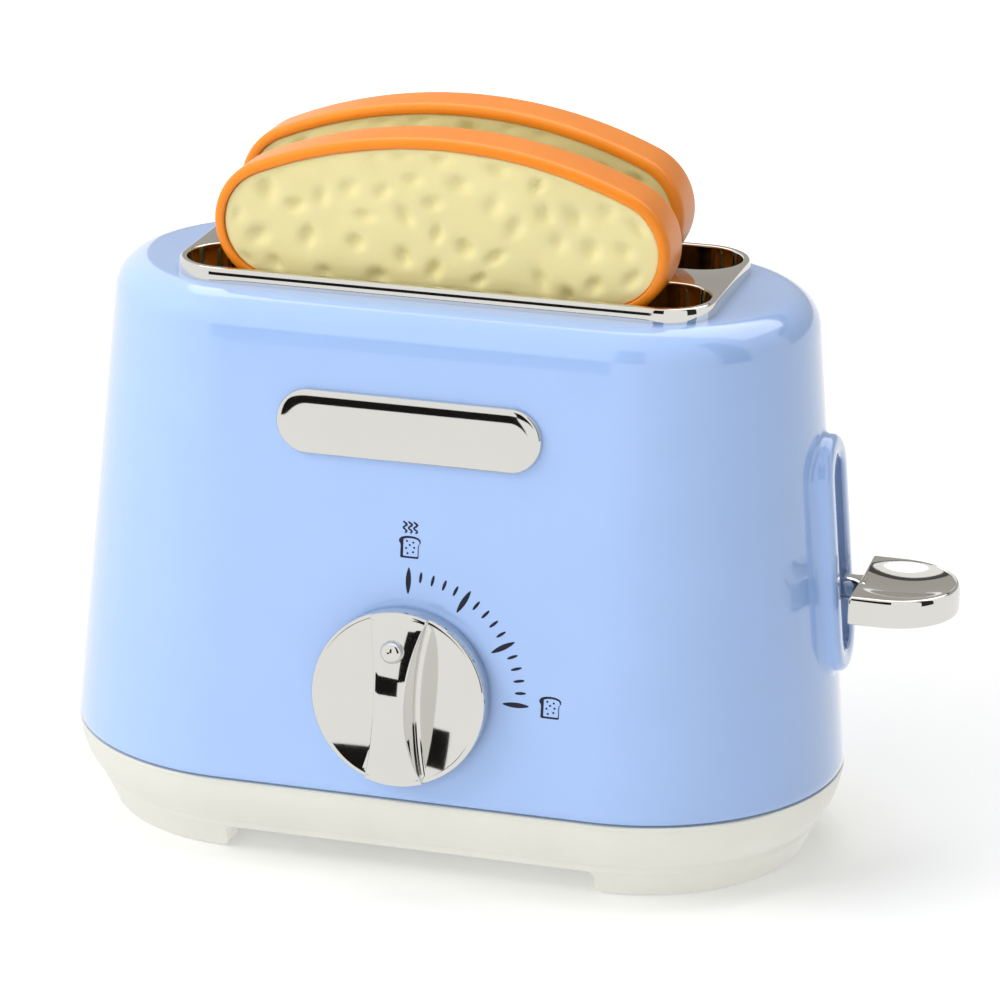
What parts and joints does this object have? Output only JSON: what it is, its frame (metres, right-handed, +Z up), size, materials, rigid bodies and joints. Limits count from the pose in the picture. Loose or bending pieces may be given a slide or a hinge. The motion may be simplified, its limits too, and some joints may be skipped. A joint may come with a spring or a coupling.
{
  "type": "toy toaster",
  "caption": "Toy pop-up toaster with rounded blue body, bright slot trim and knob, side lever, clockwork timer and lift-out slices of toast.",
  "frame": {"origin": "bottom centre of the whole, on the surface that it stands on", "axes": "+X from the plain end to the lever end, +Y from the knob side to the back, +Z up"},
  "size_m": [0.205, 0.1052, 0.165],
  "materials": {
    "blue_body": "gloss",
    "satin_base": "satin",
    "bright_chrome": "polished",
    "crust": "gloss",
    "crumb": "satin",
    "dark_plastic": "matte",
    "white_plastic": "satin",
    "steel": "satin",
    "brass": "satin"
  },
  "bodies": {
    "housing": {"body_shell": "blue_body", "base_tray": "satin_base", "slot_trim": "bright_chrome", "name_plate": "bright_chrome", "plate_push_nuts": "steel", "trim_screws": "steel", "base_screws": "steel", "guide_rods": "steel", "return_springs": "steel", "timer_front_plate": "brass", "timer_back_plate": "brass", "timer_spacers": "steel", "timer_screws": "steel", "mainspring": "steel", "latch_pin": "steel", "latch_spring": "steel"},
    "carriage": {"toast_carriage": "dark_plastic", "lever_arm": "steel", "arm_screws": "steel", "lever_handle": "bright_chrome", "handle_pin": "steel"},
    "front_slice": {"front_crust": "crust", "front_crumb_outer": "crumb", "front_crumb_inner": "crumb"},
    "rear_slice": {"rear_crust": "crust", "rear_crumb_outer": "crumb", "rear_crumb_inner": "crumb"},
    "timer_knob": {"knob": "bright_chrome", "timer_shaft": "steel", "main_gear": "brass", "timer_cam": "white_plastic"},
    "idler": {"idler_gear": "brass"},
    "governor": {"governor_fan": "brass"},
    "latch": {"latch_lever": "steel"}
  },
  "joints": [
    {"name": "lever_slide", "type": "slide", "parent": "housing", "child": "carriage", "axis": [0, 0, 1], "range_m": [-0.009, 0.028], "stiffness_N_per_m": 60, "springref_m": 0.024, "deforming": ["return_springs"]},
    {"name": "front_slice_lift", "type": "slide", "parent": "carriage", "child": "front_slice", "axis": [0, 0, 1], "range_m": [0, 0.095]},
    {"name": "rear_slice_lift", "type": "slide", "parent": "carriage", "child": "rear_slice", "axis": [0, 0, 1], "range_m": [0, 0.095]},
    {"name": "knob_turn", "type": "hinge", "parent": "housing", "child": "timer_knob", "pos_m": [-0.0125, -0.03972, 0.045], "axis": [0, -0.9959, 0.0906], "range_deg": [-90, 0], "stiffness_Nm_per_rad": 0.01, "springref_deg": 22.92, "deforming": ["mainspring"]},
    {"name": "idler_turn", "type": "hinge", "parent": "housing", "child": "idler", "pos_m": [-0.0317, -0.02976, 0.04409], "axis": [0, -0.9959, 0.0906], "range_deg": [0, 270.5]},
    {"name": "governor_turn", "type": "hinge", "parent": "housing", "child": "governor", "pos_m": [-0.04016, -0.0287, 0.0557], "axis": [0, -0.9959, 0.0906], "range_deg": [-810.5, 0]},
    {"name": "latch_swing", "type": "hinge", "parent": "housing", "child": "latch", "pos_m": [0.013, -0.02034, 0.03721], "axis": [0, -0.9959, 0.0906], "range_deg": [-8, 0], "deforming": ["latch_spring"]}
  ],
  "couplings": [
    {"joint": "idler_turn", "follows": "knob_turn", "ratio": -3},
    {"joint": "governor_turn", "follows": "knob_turn", "ratio": 9},
    {"joint": "latch_swing", "follows": "knob_turn", "ratio": 0.0888}
  ]
}
